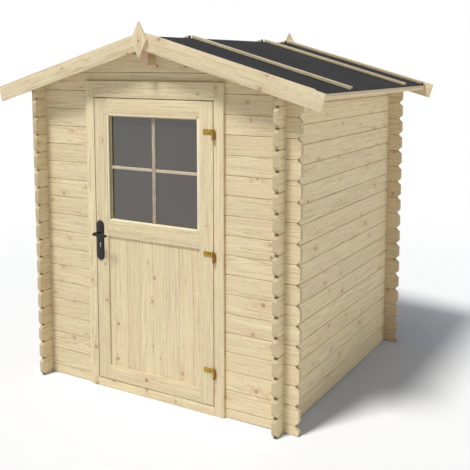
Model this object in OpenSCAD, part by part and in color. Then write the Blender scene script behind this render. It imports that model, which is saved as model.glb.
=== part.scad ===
// Wooden garden shed of interlocking horizontal boards with crossed log ends,
// a low gable roof under felt and battens, and one half-glazed door in the
// front gable. Millimetres, +Z up, the door faces -Y, origin on the ground
// at the middle of the plan.

/* [Walls] */
// outside width, over the faces of the two side walls
shed_w = 1750; // [1500:10:2400]
// outside depth, over the faces of the front and back walls
shed_d = 1690; // [1400:10:2600]
// thickness of a wall board
board_t = 28; // [21:1:40]
// height that one board covers
course_h = 114; // [106:1:124]
// board courses in a side wall
side_courses = 17; // [17:1:19]
// how far the log ends stand out past the corners
log_end = 94; // [60:2:140]
// size of the 45 degree cut at each log end corner
end_cut = 25; // [10:1:30]

/* [Roof] */
// slope of the roof in degrees
roof_pitch = 16; // [13:1:22]
// how far the roof reaches past the side wall faces
eave_reach = 220; // [140:5:300]
// thickness of the roof boards
deck_t = 16; // [15:1:24]
// thickness of the felt
felt_t = 3; // [2:0.5:5]
// thickness of a roof batten
batten_t = 17; // [12:1:24]
// width of a roof batten
batten_w = 28; // [20:1:45]
// how far the first batten in from the front edge lies from the front wall face
batten_in = 420; // [300:10:600]
// distance between the two middle battens
batten_step = 965; // [700:5:1000]
// width of a barge board
barge_w = 96; // [80:1:130]
// thickness of the barge boards and finials
barge_t = 18; // [15:1:28]
// how far a barge board runs past the eave
barge_past = 55; // [20:5:90]
// width of the ridge beam
beam_w = 46; // [40:1:70]
// height of the ridge beam on its sides
beam_h = 145; // [120:5:160]
// width of a finial
finial_w = 110; // [60:1:120]
// height of a finial
finial_h = 208; // [160:2:260]

/* [Door] */
// clear width between the door posts
frame_w = 868; // [780:2:900]
// height of the opening from the sill to the head
frame_h = 1789; // [1760:1:1795]
// height of the sill
sill_h = 54; // [30:1:60]
// width of a door post
post_w = 64; // [50:1:90]
// height of the head board
head_h = 100; // [70:1:110]
// thickness of the door leaf
leaf_t = 38; // [34:1:42]
// width of a door stile
stile_w = 90; // [80:1:110]
// height of a door rail
rail_h = 95; // [80:1:115]
// height of the middle rail's lower edge over the bottom of the leaf
mid_rail_z = 926; // [800:2:1000]
// height of the lever over the ground
lever_z = 1001; // [900:1:1050]
// heights of the lower ends of the hinges over the ground
hinge_z = [227, 918, 1621];

/* [Hidden] */
$fn = 48;
eps = 1;
wood = [0.86, 0.77, 0.62];
felt_black = [0.25, 0.25, 0.26];
lever_black = [0.13, 0.13, 0.14];
brass = [0.72, 0.58, 0.26];
pane_grey = [0.45, 0.43, 0.41, 0.5];
nickel = [0.72, 0.72, 0.70];

// plan
half_w = shed_w / 2;
half_d = shed_d / 2;
front_y = -half_d;
roof_half_d = half_d + log_end;
side_len = shed_d + 2 * log_end;
half_course = course_h / 2;
foot_cut = 8;

// roof planes: heights over the middle of the plan
slope = tan(roof_pitch);
lean = cos(roof_pitch);
peak_z = side_courses * course_h + slope * half_w;
eave_x = half_w + eave_reach;
layer_play = 0.1;
deck_lift = layer_play;
felt_lift = deck_lift + deck_t / lean + layer_play;
batten_lift = felt_lift + felt_t / lean + layer_play;
barge_lift = batten_lift + batten_t / lean;
beam_z = peak_z - slope * beam_w / 2 - beam_h;
beam_short = 22;
batten_ridge_gap = 12;
batten_short = 15;
lath_w = 40;
lath_t = 16;
finial_over = 58;

// door frame, measured from the front face of the wall
frame_front = -18;
frame_back = 46;
frame_in = frame_w / 2;
post_out = frame_in + post_w;
groove = 30;
groove_play = 2;
wall_in_groove = post_out - groove + groove_play;
head_bed = 25;
head_z = sill_h + frame_h;
frame_top = head_z + head_h;
gable_z = (side_courses - 0.5) * course_h;
stop_y = 27;
stop_in = 12;

// door leaf, measured from the front face of the wall
leaf_gap = 5;
latch_gap = 5.2;
latch_bevel = 2;
hinge_gap = 6.5;
leaf_y = -16;
leaf_x0 = -frame_in + latch_gap;
leaf_x1 = frame_in - hinge_gap;
leaf_z0 = sill_h + leaf_gap;
leaf_h = frame_h - 2 * leaf_gap;
leaf_w = leaf_x1 - leaf_x0;
mid_z = leaf_z0 + mid_rail_z;
tenon_l = 45;
tenon_t = 12;
tenon_in = 15;
tongue = 10;
panel_t = 18;
panel_y = leaf_y + (leaf_t - panel_t) / 2;
glass_t = 4;
glass_in = 27;
glass_y = leaf_y + glass_in;

// hinges
pin_out = 5;
pin_x = frame_in + pin_out;
pin_y = -28.5;
pin_r = 4;
pin_play = 0.05;
barrel_r = 8.5;
barrel_h = 30;
pin_short = 2;
strap_l = 64;
strap_h = 29;
strap_t = 3;
hook_t = 2.5;
hook_reach = 38;

// lock and lever
plate_w = 57;
plate_in = 0.5;
lever_x = leaf_x0 + plate_in + plate_w / 2;
inner_plate_w = 30;
plate_h = 253;
plate_t = 8;
plate_drop = 50;
neck_r = 9;
neck_l = 65;
inner_neck_l = 51;
grip_l = 100;
spindle = 8;
spindle_hole_r = 10;
lock_drop = 72;
lock_r = 8.5;
lock_web_w = 10;
lock_web_h = 24;
lock_proud = 5;
fit_play = 0.1;

// height of the underside of the roof boards at a distance x from the ridge
function roof_z(x, lift = 0) = peak_z + lift - slope * abs(x);

// points of a notched log end, going up, for joints at the heights in "joints";
// side is 1 for an end on the right and -1 for one on the left, and foot is the
// size of the cut on the ground
function log_end_points(x, foot, joints, side) = concat(
    [[x - side * foot, 0], [x, foot]],
    [for (z = joints) each [
        [x, z - end_cut],
        [x - side * end_cut, z],
        [x, z + end_cut]
    ]]
);

// points of a list in the opposite order
function backwards(points) = [for (i = [len(points) - 1:-1:0]) points[i]];

// a profile drawn in X and Z, made solid from y0 to y1
module along_y(y0, y1) {
    translate([0, y1, 0])
        rotate([90, 0, 0])
            linear_extrude(y1 - y0)
                children();
}

// a box between two corners
module box(low, high) {
    translate(low)
        cube(high - low);
}

// all the space under the roof boards
module under_roof() {
    reach = half_w + 2 * log_end;
    along_y(-shed_d, shed_d)
        polygon([
            [-reach, 0], [reach, 0], [reach, roof_z(reach)],
            [0, peak_z], [-reach, roof_z(reach)]
        ]);
}

// the blocks where the side walls' logs pass through one corner
module side_log_blocks(x0, y0) {
    for (k = [0:side_courses - 1])
        translate([x0, y0, (k + 0.25) * course_h])
            cube([board_t, board_t, half_course]);
}

// the blocks where the front or back wall's logs pass through one corner
module cross_log_blocks(x0, y0) {
    translate([x0, y0, 0])
        cube([board_t, board_t, half_course / 2]);
    for (k = [1:side_courses])
        translate([x0, y0, (k - 0.25) * course_h])
            cube([board_t, board_t, half_course]);
}

// a side wall: full boards from the ground up, its top cut to the roof slope
module side_wall(x0) {
    end_y = half_d + log_end;
    joints = [for (k = [1:side_courses - 1]) k * course_h];
    top = roof_z(x0 < 0 ? x0 + board_t : x0) + eps;
    outline = concat(
        log_end_points(end_y, end_cut, joints, 1), [[end_y, top]],
        [[-end_y, top]], backwards(log_end_points(-end_y, end_cut, joints, -1))
    );
    color(wood)
        difference() {
            intersection() {
                translate([x0, 0, 0])
                    rotate([90, 0, 90])
                        linear_extrude(board_t)
                            polygon(outline);
                under_roof();
            }
            cross_log_blocks(x0, -half_d);
            cross_log_blocks(x0, half_d - board_t);
        }
}

// takes the side walls' crossings out of a front or back wall
module crossed(y0) {
    difference() {
        children();
        side_log_blocks(-half_w, y0);
        side_log_blocks(half_w - board_t, y0);
    }
}

// slot for the ridge beam in a gable, as profile points from right to left
function beam_slot() = [
    [beam_w / 2, roof_z(beam_w / 2)], [beam_w / 2, beam_z],
    [-beam_w / 2, beam_z], [-beam_w / 2, roof_z(beam_w / 2)]
];

// joints of the front and back walls: the first board is half as high
function cross_joints(last) = [for (k = [0:last]) (k + 0.5) * course_h];

module back_wall() {
    end_x = half_w + log_end;
    joints = cross_joints(side_courses - 1);
    tips = [for (z = joints) if (z + end_cut < roof_z(end_x)) z];
    color(wood)
        crossed(half_d - board_t)
            along_y(half_d - board_t, half_d)
                polygon(concat(
                    log_end_points(end_x, foot_cut, tips, 1),
                    [[end_x, roof_z(end_x)]], beam_slot(), [[-end_x, roof_z(end_x)]],
                    backwards(log_end_points(-end_x, foot_cut, tips, -1))
                ));
}

// the front wall on one side of the doorway, up to the joint by the door head
module front_wall_side(side) {
    end_x = side * (half_w + log_end);
    color(wood)
        crossed(front_y)
            along_y(front_y, front_y + board_t)
                polygon(concat(
                    log_end_points(end_x, foot_cut, cross_joints(side_courses - 2), side),
                    [
                        [end_x, gable_z - end_cut], [end_x - side * end_cut, gable_z],
                        [side * wall_in_groove, gable_z], [side * wall_in_groove, 0]
                    ]
                ));
}

// the boards over the doorway and the triangle of the front gable
module front_gable() {
    end_x = half_w + log_end;
    foot_z = frame_top - head_bed + groove_play;
    color(wood)
        crossed(front_y)
            along_y(front_y, front_y + board_t)
                polygon(concat(
                    [
                        [wall_in_groove, foot_z], [wall_in_groove, gable_z],
                        [end_x - end_cut, gable_z], [end_x, gable_z + end_cut],
                        [end_x, roof_z(end_x)]
                    ],
                    beam_slot(),
                    [
                        [-end_x, roof_z(end_x)], [-end_x, gable_z + end_cut],
                        [-end_x + end_cut, gable_z], [-wall_in_groove, gable_z],
                        [-wall_in_groove, foot_z]
                    ]
                ));
}

// the beam under the ridge, its top planed to both slopes
module ridge_beam() {
    edge = beam_w / 2;
    end_y = roof_half_d - beam_short;
    color(wood)
        along_y(-end_y, end_y)
            polygon([
                [-edge, beam_z], [edge, beam_z], [edge, roof_z(edge)],
                [0, peak_z], [-edge, roof_z(edge)]
            ]);
}

// points of a layer on one roof slope, with a square cut at the eave
function layer_points(side, x0, x1, lift, t) = [
    [side * x0, roof_z(x0, lift)],
    [side * x0, roof_z(x0, lift + t / lean)],
    [side * x1, roof_z(x1, lift + t / lean)],
    [side * (x1 - t * sin(roof_pitch)), roof_z(x1, lift + t / lean) - t * lean]
];

module roof_deck(side) {
    color(wood)
        along_y(-roof_half_d, roof_half_d)
            polygon(layer_points(side, 0, eave_x, deck_lift, deck_t));
}

// the lath nailed under the ends of the roof boards
module eave_lath(side) {
    out = eave_x - deck_t * sin(roof_pitch);
    drop = -lath_t / lean;
    color(wood)
        along_y(-roof_half_d, roof_half_d)
            polygon(layer_points(side, out - lath_w * lean, out, drop, lath_t));
}

// the felt, one bent sheet over both slopes
module roof_felt() {
    right = layer_points(1, 0, eave_x, felt_lift, felt_t);
    left = layer_points(-1, 0, eave_x, felt_lift, felt_t);
    color(felt_black)
        along_y(-roof_half_d, roof_half_d)
            polygon([right[0], right[3], right[2], right[1], left[2], left[3]]);
}

// where the middle of each batten lies, front to back
batten_y = [
    -roof_half_d + batten_w / 2,
    front_y + batten_in,
    front_y + batten_in + batten_step,
    roof_half_d - batten_w / 2
];

module roof_batten(side, i) {
    out = eave_x - batten_short;
    color(wood)
        along_y(batten_y[i] - batten_w / 2, batten_y[i] + batten_w / 2)
            polygon(layer_points(side, batten_ridge_gap, out, batten_lift, batten_t));
}

// a board along the gable edge of the roof: plumb at the ridge, square at the eave
module barge_board(side, y0) {
    out = eave_x + barge_past;
    drop = barge_lift - barge_w / lean;
    color(wood)
        along_y(y0, y0 + barge_t)
            polygon(layer_points(side, 0, out, drop, barge_w));
}

// a long diamond over the joint of two barge boards
module finial(y0) {
    top = peak_z + barge_lift + finial_over;
    mid = top - finial_h / 2;
    color(wood)
        along_y(y0, y0 + barge_t)
            polygon([
                [0, top], [finial_w / 2, mid], [0, top - finial_h], [-finial_w / 2, mid]
            ]);
}

// a door post: grooved for the wall boards, with the door's stop behind the leaf
module door_post(side) {
    inner = side * frame_in;
    outer = side * post_out;
    bed = side * (post_out - groove);
    stop = side * (frame_in - stop_in);
    stop_low = min(inner, stop - side * eps);
    stop_high = max(inner, stop - side * eps);
    color(wood)
        translate([0, front_y, 0])
            difference() {
                linear_extrude(frame_top)
                    polygon([
                        [inner, frame_front], [outer, frame_front], [outer, 0], [bed, 0],
                        [bed, board_t], [outer, board_t], [outer, frame_back],
                        [stop, frame_back], [stop, stop_y], [inner, stop_y]
                    ]);
                // bed for the boards over the doorway
                box([min(inner, outer) - stop_in - eps, 0, frame_top - head_bed],
                    [max(inner, outer) + stop_in + eps, board_t, frame_top + eps]);
                // the stop ends at the sill and at the head's own stop
                box([stop_low, stop_y, head_z - stop_in],
                    [stop_high, frame_back + eps, frame_top + eps]);
                box([stop_low, stop_y - eps, -eps],
                    [stop_high, frame_back + eps, sill_h]);
            }
}

// the head between the posts, with a groove on top and a stop below
module door_head() {
    color(wood)
        translate([0, front_y, 0])
            rotate([90, 0, 90])
                translate([0, 0, -frame_in])
                    linear_extrude(frame_w)
                        polygon([
                            [frame_front, head_z], [stop_y, head_z],
                            [stop_y, head_z - stop_in], [frame_back, head_z - stop_in],
                            [frame_back, frame_top], [board_t, frame_top],
                            [board_t, frame_top - head_bed], [0, frame_top - head_bed],
                            [0, frame_top], [frame_front, frame_top]
                        ]);
}

module door_sill() {
    color(wood)
        translate([0, front_y, 0])
            box([-frame_in, frame_front, 0], [frame_in, frame_back, sill_h]);
}

// frame side of a hinge: lower barrel, pin and the plate in the rebate
module hinge_hook(z) {
    color(brass)
        translate([pin_x, front_y + pin_y, z]) {
            cylinder(h = barrel_h, r = barrel_r);
            cylinder(h = 2 * barrel_h - pin_short, r = pin_r);
            translate([-pin_x + frame_in - hook_t, 0, 0])
                cube([hook_t, hook_reach, barrel_h]);
        }
}

// door side of a hinge: upper barrel and the strap on the face of the leaf
module hinge_strap(z) {
    strap_x = leaf_x1 - strap_l;
    color(brass)
        translate([0, front_y, z + barrel_h + pin_play])
            difference() {
                union() {
                    translate([pin_x, pin_y, 0])
                        cylinder(h = barrel_h - pin_play, r = barrel_r);
                    box([strap_x, leaf_y - strap_t, 0],
                        [pin_x - barrel_r + hook_t, leaf_y, strap_h]);
                    box([pin_x - barrel_r, pin_y, 0],
                        [pin_x - barrel_r + hook_t, leaf_y, strap_h]);
                }
                translate([pin_x, pin_y, -eps])
                    cylinder(h = barrel_h + 2 * eps, r = pin_r + pin_play);
            }
}

// the space that the glass and the panel need in the edges around them
module leaf_grooves() {
    translate([0, front_y, 0]) {
        box([leaf_x0 + stile_w - tongue, glass_y, mid_z + rail_h - tongue],
            [leaf_x1 - stile_w + tongue, glass_y + glass_t, leaf_z0 + leaf_h - rail_h + tongue]);
        box([leaf_x0 + stile_w - tongue, panel_y, leaf_z0 + rail_h - tongue],
            [leaf_x1 - stile_w + tongue, panel_y + panel_t, mid_z + tongue]);
    }
}

// the tenons of one rail
module rail_tenons(z) {
    y = front_y + leaf_y + (leaf_t - tenon_t) / 2;
    for (x = [leaf_x0 + stile_w - tenon_l, leaf_x1 - stile_w])
        translate([x, y, z + tenon_in])
            cube([tenon_l, tenon_t, rail_h - 2 * tenon_in]);
}

// lower edges of the rails
rails_z = [leaf_z0, mid_z, leaf_z0 + leaf_h - rail_h];

// a stile, narrower at the back of its left edge by the bevel
module leaf_stile(x, bevel = 0) {
    difference() {
        translate([x, front_y + leaf_y, leaf_z0])
            linear_extrude(leaf_h)
                polygon([[0, 0], [stile_w, 0], [stile_w, leaf_t], [bevel, leaf_t]]);
        leaf_grooves();
        for (z = rails_z)
            rail_tenons(z);
    }
}

module stile_latch() {
    color(wood)
        difference() {
            leaf_stile(leaf_x0, latch_bevel);
            translate([lever_x, front_y + leaf_y - eps, lever_z])
                rotate([-90, 0, 0])
                    cylinder(h = leaf_t + 2 * eps, r = spindle_hole_r);
            lock_shape(leaf_y - eps, leaf_y + leaf_t + eps, fit_play);
        }
}

module stile_hinge() {
    color(wood)
        leaf_stile(leaf_x1 - stile_w);
}

module leaf_rail(z) {
    color(wood)
        difference() {
            union() {
                translate([leaf_x0 + stile_w, front_y + leaf_y, z])
                    cube([leaf_w - 2 * stile_w, leaf_t, rail_h]);
                rail_tenons(z);
            }
            leaf_grooves();
        }
}

module door_panel() {
    color(wood)
        translate([0, front_y, 0])
            box([leaf_x0 + stile_w - tongue, panel_y, leaf_z0 + rail_h - tongue],
                [leaf_x1 - stile_w + tongue, panel_y + panel_t, mid_z + tongue]);
}

module door_glass() {
    color(pane_grey)
        translate([0, front_y, 0])
            box([leaf_x0 + stile_w - tongue, glass_y, mid_z + rail_h - tongue],
                [leaf_x1 - stile_w + tongue, glass_y + glass_t,
                 leaf_z0 + leaf_h - rail_h + tongue]);
}

// the round-nosed profile of the lock cylinder, made solid from y0 to y1
module lock_shape(y0, y1, grow) {
    translate([lever_x, front_y + y0, lever_z - lock_drop]) {
        rotate([-90, 0, 0])
            cylinder(h = y1 - y0, r = lock_r + grow);
        translate([-lock_web_w / 2 - grow, 0, -lock_web_h - grow])
            cube([lock_web_w + 2 * grow, y1 - y0, lock_web_h + grow]);
    }
}

// a long plate with round ends, lying on one face of the leaf
module handle_plate(y0, w) {
    low = lever_z - plate_drop - plate_h / 2;
    r = w / 2;
    color(lever_black)
        difference() {
            union() {
                translate([lever_x - r, front_y + y0, low + r])
                    cube([w, plate_t, plate_h - w]);
                for (z = [low + r, low + plate_h - r])
                    translate([lever_x, front_y + y0, z])
                        rotate([-90, 0, 0])
                            cylinder(h = plate_t, r = r);
            }
            translate([lever_x, front_y + y0 - eps, lever_z])
                rotate([-90, 0, 0])
                    cylinder(h = plate_t + 2 * eps, r = neck_r + pin_play);
            lock_shape(y0 - eps, y0 + plate_t + eps, fit_play);
        }
}

module lock_cylinder() {
    color(nickel)
        lock_shape(leaf_y - lock_proud, leaf_y + leaf_t + lock_proud, 0);
}

// one neck and grip; the grip points to the hinges
module lever_side(y_plate, out, reach) {
    y_grip = y_plate + out * reach;
    translate([lever_x, front_y, lever_z]) {
        translate([0, min(y_plate - out * plate_t, y_grip), 0])
            rotate([-90, 0, 0])
                cylinder(h = reach + plate_t, r = neck_r);
        translate([0, y_grip, 0])
            rotate([0, 90, 0])
                cylinder(h = grip_l, r = neck_r);
        translate([0, y_grip, 0])
            sphere(r = neck_r);
        translate([grip_l, y_grip, 0])
            sphere(r = neck_r);
    }
}

// both levers on their square spindle
module lever_handle() {
    outer_y = leaf_y - plate_t;
    inner_y = leaf_y + leaf_t + plate_t;
    color(lever_black) {
        lever_side(outer_y, -1, neck_l);
        lever_side(inner_y, 1, inner_neck_l);
        translate([lever_x - spindle / 2, front_y + leaf_y - eps, lever_z - spindle / 2])
            cube([spindle, leaf_t + 2 * eps, spindle]);
    }
}

side_wall(-half_w);  // left_wall
side_wall(half_w - board_t);  // right_wall
back_wall();
front_wall_side(-1);  // front_wall_left
front_wall_side(1);  // front_wall_right
front_gable();
ridge_beam();
roof_deck(-1);  // roof_deck_left
roof_deck(1);  // roof_deck_right
eave_lath(-1);  // eave_lath_left
eave_lath(1);  // eave_lath_right
roof_felt();
roof_batten(-1, 0);  // batten_left_1
roof_batten(-1, 1);  // batten_left_2
roof_batten(-1, 2);  // batten_left_3
roof_batten(-1, 3);  // batten_left_4
roof_batten(1, 0);  // batten_right_1
roof_batten(1, 1);  // batten_right_2
roof_batten(1, 2);  // batten_right_3
roof_batten(1, 3);  // batten_right_4
barge_board(-1, -roof_half_d - barge_t);  // barge_front_left
barge_board(1, -roof_half_d - barge_t);  // barge_front_right
barge_board(-1, roof_half_d);  // barge_back_left
barge_board(1, roof_half_d);  // barge_back_right
finial(-roof_half_d - 2 * barge_t);  // finial_front
finial(roof_half_d + barge_t);  // finial_back
door_post(-1);  // post_left
door_post(1);  // post_right
door_head();
door_sill();
hinge_hook(hinge_z[0]);  // hinge_hook_bottom
hinge_hook(hinge_z[1]);  // hinge_hook_middle
hinge_hook(hinge_z[2]);  // hinge_hook_top
stile_latch();
stile_hinge();
leaf_rail(rails_z[2]);  // rail_top
leaf_rail(rails_z[1]);  // rail_middle
leaf_rail(rails_z[0]);  // rail_bottom
door_panel();
door_glass();
hinge_strap(hinge_z[0]);  // hinge_strap_bottom
hinge_strap(hinge_z[1]);  // hinge_strap_middle
hinge_strap(hinge_z[2]);  // hinge_strap_top
handle_plate(leaf_y - plate_t, plate_w);  // plate_outside
handle_plate(leaf_y + leaf_t, inner_plate_w);  // plate_inside
lock_cylinder();
lever_handle();
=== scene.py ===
import math
import random
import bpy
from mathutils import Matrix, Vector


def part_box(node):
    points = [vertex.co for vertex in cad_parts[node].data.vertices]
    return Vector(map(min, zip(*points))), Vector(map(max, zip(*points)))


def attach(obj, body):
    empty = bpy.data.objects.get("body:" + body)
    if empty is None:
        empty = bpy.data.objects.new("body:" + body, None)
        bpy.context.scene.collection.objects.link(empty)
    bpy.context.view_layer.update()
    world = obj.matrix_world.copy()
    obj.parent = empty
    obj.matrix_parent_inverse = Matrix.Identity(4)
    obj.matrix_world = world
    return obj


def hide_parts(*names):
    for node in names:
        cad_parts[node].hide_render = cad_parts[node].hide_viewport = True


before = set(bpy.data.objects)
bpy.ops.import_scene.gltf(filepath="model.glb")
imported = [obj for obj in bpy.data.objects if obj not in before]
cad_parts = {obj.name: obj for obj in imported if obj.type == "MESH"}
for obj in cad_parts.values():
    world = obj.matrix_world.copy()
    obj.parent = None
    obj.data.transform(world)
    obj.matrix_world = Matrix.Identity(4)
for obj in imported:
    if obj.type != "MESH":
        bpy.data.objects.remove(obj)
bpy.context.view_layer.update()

import zlib
from functools import partialmethod
from math import cos, pi, radians, sin, tau

import bmesh
import bpy
from mathutils import Vector

# Wooden garden shed. Metres, in the CAD frame: +Z up, the door faces -Y, and
# the origin lies on the ground at the middle of the plan.

AXIS_X = Vector((1, 0, 0))
AXIS_Y = Vector((0, 1, 0))
AXIS_Z = Vector((0, 0, 1))


# -------- sizes from the frame

def low(node):
    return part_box(node)[0]


def high(node):
    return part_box(node)[1]


def middle(node):
    return (low(node) + high(node)) / 2


HALF_W = -low("left_wall").x  # outside faces of the side walls
HALF_D = -low("front_wall_left").y  # outside faces of the front and back walls
BOARD_T = high("left_wall").x - low("left_wall").x
LOG_END = high("left_wall").y - HALF_D
COURSES = 17
GABLE_Z = high("front_wall_left").z
COURSE = GABLE_Z / (COURSES - 0.5)
QUARTER = COURSE / 4  # depth of a corner notch
END_CUT = 0.025  # 45 degree cut at the corners of a log end
FOOT_CUT = 0.008  # and at the foot of a half board on the ground
WALL_BED = -high("front_wall_left").x  # where the boards end in the post grooves
HEAD_LAP = 0.023  # how far the door head covers the board over the doorway
PEAK = high("ridge_beam").z  # underside of the roof boards at the ridge
SLOPE = (PEAK - high("left_wall").z) / (HALF_W - BOARD_T)
PITCH = math.atan(SLOPE)
ROOF_HALF_D = high("roof_felt").y
EAVE_X = high("roof_felt").x
LAYER_PLAY = 0.0001  # between the layers of the roof
DECK_T = 0.016  # roof boards
FELT_T = 0.003
HANDS = {-1: "left", 1: "right"}
ENDS = ("front", "back")


def roof_z(x, lift=0.0):
    """Height of the underside of the roof boards over a distance x from the ridge."""
    return PEAK + lift - SLOPE * abs(x)


def roof_x(z):
    """Distance from the ridge at which the underside of the roof boards is that high."""
    return (PEAK - z) / SLOPE


def down_slope(side):
    """The way down a slope of the roof."""
    return Vector((side * cos(PITCH), 0, -sin(PITCH)))


# -------- meshes

GRAIN_RANGE = 60  # metres of grain from which each board is cut
OWN_RANGE = 97.0  # and how far apart the boards' noises lie
HEART_ASIDE = 0.09  # how far off a board's heart lies, across the board
HEART_DEEP = (0.025, 0.09)  # and through it, to either side
END_FACE = 0.6  # a face is end grain if its normal is this far along
PARALLEL = 1e-9  # edges of an outline whose cross product is below this run on
FLAT = radians(0.5)  # faces of a CAD solid that are this flat are made one
SHARP = 0.2  # radians; edges sharper than that are eased


class Mesh:
    """A mesh in the making, with the grain of each board kept at its corners."""

    def __init__(self, name):
        self.name = name
        self.bm = bmesh.new()
        layers = self.bm.loops.layers.float_vector
        self.grain = layers.new("grain")  # along, across and through the board
        self.board = layers.new("board")  # where the heart lies, and the board's tone
        self.finish = layers.new("finish")  # end grain, hue, and a number of its own
        self.rng = random.Random(zlib.crc32(name.encode()))

    def stamp(self, faces, along, across):
        """Gives these faces, which make one board, a run of grain of their own."""
        rng = self.rng
        depth = along.cross(across)
        points = [v.co for f in faces for v in f.verts]
        middle = sum(points, Vector()) / len(points)
        start = rng.uniform(0, GRAIN_RANGE)
        heart = (rng.uniform(-HEART_ASIDE, HEART_ASIDE),
                 rng.choice((-1, 1)) * rng.uniform(*HEART_DEEP))
        tone, hue, own = rng.random(), rng.random(), rng.random()
        for face in faces:
            end = float(abs(face.normal.dot(along)) > END_FACE)
            for loop in face.loops:
                p = loop.vert.co - middle
                loop[self.grain] = (p.dot(along) + start, p.dot(across), p.dot(depth))
                loop[self.board] = (heart[0], heart[1], tone)
                loop[self.finish] = (end, hue, own)

    def wall(self, rings, looped=False):
        """Joins rings of points, given in order, by four-cornered faces; looped says
        that the last ring meets the first."""
        rows = [[self.bm.verts.new(p) for p in ring] for ring in rings]
        faces = []
        for i in range(0 if looped else 1, len(rows)):
            for a, b, c, d in zip(rows[i - 1], turned(rows[i - 1]), turned(rows[i]), rows[i]):
                faces.append(self.bm.faces.new((a, b, c, d)))
        return rows, faces

    def outwards(self, faces):
        """Turns the faces of a closed skin to the outside."""
        bmesh.ops.recalc_face_normals(self.bm, faces=faces)
        for face in faces:
            face.normal_update()
        return faces

    def skin(self, rings):
        """A closed skin over rings of points, capped at both ends."""
        rows, faces = self.wall(rings)
        faces.append(self.bm.faces.new(rows[0][::-1]))
        faces.append(self.bm.faces.new(rows[-1]))
        return self.outwards(faces)

    def pierced(self, rings, hole):
        """A skin over rings of points with a hole of its own from end to end."""
        outer, faces = self.wall(rings)
        inner, inside = self.wall(hole)
        faces += inside
        for end in (0, -1):
            edges = []
            for row in (outer[end], inner[end]):
                edges += [self.bm.edges.get(pair) for pair in zip(row, turned(row))]
            made = bmesh.ops.triangle_fill(self.bm, edges=edges, use_beauty=True,
                                           use_dissolve=False)
            faces += [f for f in made["geom"] if isinstance(f, bmesh.types.BMFace)]
        return self.outwards(faces)

    def plank(self, outline, layers, place, along, across):
        """A board drawn by its outline, in layers, with a run of grain of its own."""
        self.stamp(self.skin(layered(outline, layers, place)), along, across)

    def lathe(self, profile, centre, axis, steps=32):
        """A turned shape: profile is a list of (distance along the axis, radius)."""
        side = axis.orthogonal().normalized()
        other = axis.cross(side)
        faces = self.skin([ring_points(centre + axis * d, side * r, other * r, steps)
                           for d, r in profile])
        for face in faces:
            face.smooth = len(face.verts) == 4

    def done(self, body, node, materials, sharp=35):
        """Makes the object, and says what it rides on, which CAD node it stands for (none
        if that is empty) and its materials; sharp is the least angle of a sharp edge."""
        data = bpy.data.meshes.new(self.name)
        self.bm.to_mesh(data)
        self.bm.free()
        piece = add(self.name, data)
        for material in materials:
            data.materials.append(material)
        data.set_sharp_from_angle(angle=radians(sharp))
        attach(piece, body)
        if node:
            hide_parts(node)


def oblong(x0, x1, z0, z1, shares=(1, 1, 1, 1)):
    """Outline of an oblong; shares are those of its lower, right, upper and left edge."""
    corners = ((x0, z0), (x1, z0), (x1, z1), (x0, z1))
    return [(u, v, share) for (u, v), share in zip(corners, shares)]


def add(name, data):
    """A new object in the scene."""
    thing = bpy.data.objects.new(name, data)
    bpy.context.scene.collection.objects.link(thing)
    return thing


def turned(row):
    """The same row, starting at its second member."""
    return row[1:] + row[:1]


def ring_points(centre, side, other, steps):
    """Points of an ellipse with the half axes side and other."""
    angles = [tau * i / steps for i in range(steps)]
    return [centre + side * cos(t) + other * sin(t) for t in angles]


def facing(y, out=1):
    """Places a point of an upright face: u across, v up, and depth from y along out."""
    return lambda u, v, depth: Vector((u, y + out * depth, v))


def layered(outline, layers, place):
    """Rings of a solid drawn by its outline of (u, v, share of the draw-in at the edge
    that starts there), in layers of (depth, draw-in)."""
    return [[place(u, v, depth) for u, v in drawn_in(outline, inset)]
            for depth, inset in layers]


def both_faces(thick, layers):
    """Layers of a board that is alike on both faces, from those at its first face."""
    return layers + [(thick - depth, inset) for depth, inset in reversed(layers)]


def drawn_in(outline, inset):
    """The outline with each edge moved in by its own share of inset."""
    lines = []
    for (u, v, share), (next_u, next_v, _) in zip(outline, turned(outline)):
        length = math.hypot(next_u - u, next_v - v)
        a, b = (v - next_v) / length, (next_u - u) / length
        lines.append((a, b, a * u + b * v + inset * share))
    points = []
    for (a, b, c), (d, e, f), (u, v, share) in zip(lines[-1:] + lines, lines, outline):
        cross = a * e - b * d
        if abs(cross) < PARALLEL:
            points.append((u + d * inset * share, v + e * inset * share))
        else:
            points.append(((c * e - b * f) / cross, (a * f - c * d) / cross))
    return points


def mirrored(outline):
    """The outline turned over from left to right, still going round the same way."""
    shares = turned([share for _, _, share in outline[::-1]])
    return [(-u, v, share) for (u, v, _), share in zip(outline[::-1], shares)]


def from_cad(node, body, material, along, across, ease=0.0012):
    """A CAD solid with its edges eased by that radius, and with grain."""
    mesh = Mesh(node + "_wood")
    bm = mesh.bm
    source = bmesh.new()
    source.from_mesh(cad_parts[node].data)
    bmesh.ops.remove_doubles(source, verts=source.verts, dist=1e-6)
    bmesh.ops.dissolve_limit(source, angle_limit=FLAT, verts=source.verts,
                             edges=source.edges)
    copies = {v: bm.verts.new(v.co) for v in source.verts}
    for face in source.faces:
        bm.faces.new([copies[v] for v in face.verts])
    source.free()
    bm.normal_update()
    edges = [e for e in bm.edges if len(e.link_faces) == 2 and e.calc_face_angle() > SHARP]
    bmesh.ops.bevel(bm, geom=edges, offset=ease, segments=2, profile=0.6,
                    affect='EDGES', clamp_overlap=True)
    bm.normal_update()
    mesh.stamp(list(bm.faces), along, across)
    mesh.done(body, node, [material])


# -------- materials

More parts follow.
